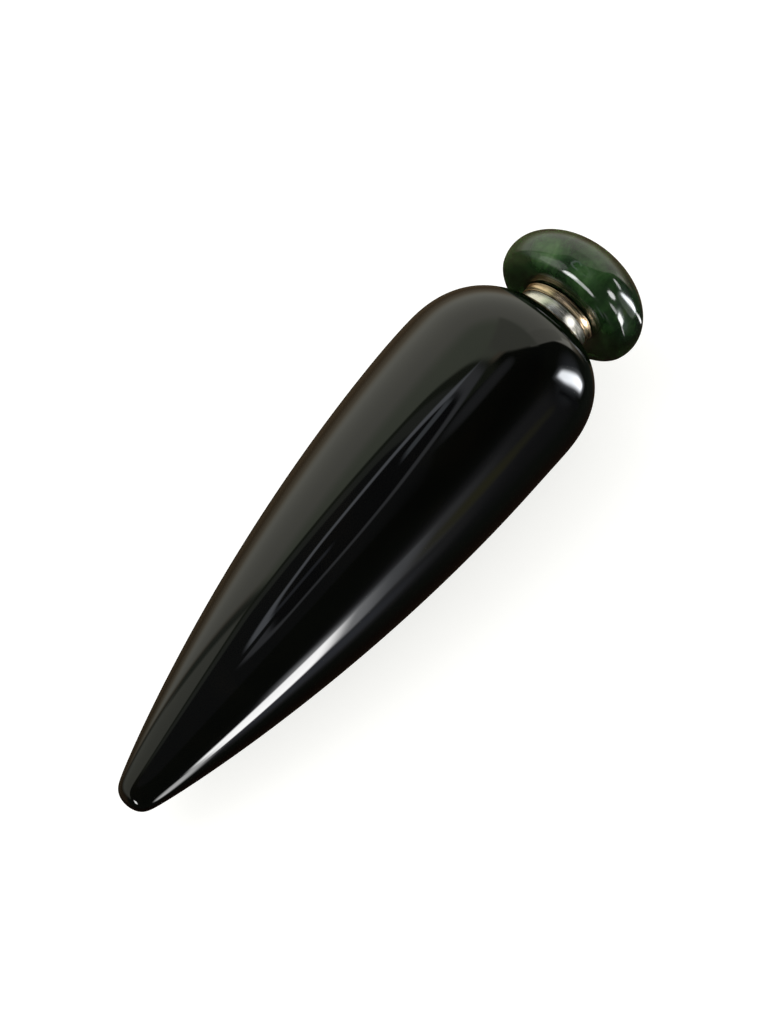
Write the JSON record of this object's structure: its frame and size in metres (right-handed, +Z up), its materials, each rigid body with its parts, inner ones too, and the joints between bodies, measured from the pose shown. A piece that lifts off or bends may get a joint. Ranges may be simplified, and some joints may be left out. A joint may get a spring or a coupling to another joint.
{
  "type": "perfume vial",
  "caption": "Slender carrot-shaped hollow stone vial lying on its side, with a metal collar and a lift-out stopper with a flattened green bead head.",
  "frame": {"origin": "middle of the small flat spot ground on the flank, under the balance point", "axes": "+X along the vial from its pointed tip to its stopper, +Z up from the flat spot, +Y to the left of +X"},
  "size_m": [0.0862, 0.024, 0.0243],
  "materials": {
    "black_onyx": "polished",
    "silver": "polished",
    "gold": "polished",
    "nephrite": "polished"
  },
  "bodies": {
    "root": {"vial_body": "black_onyx", "neck_collar": "silver", "stopper_ferrule": "gold", "stopper_head": "nephrite"}
  },
  "joints": []
}
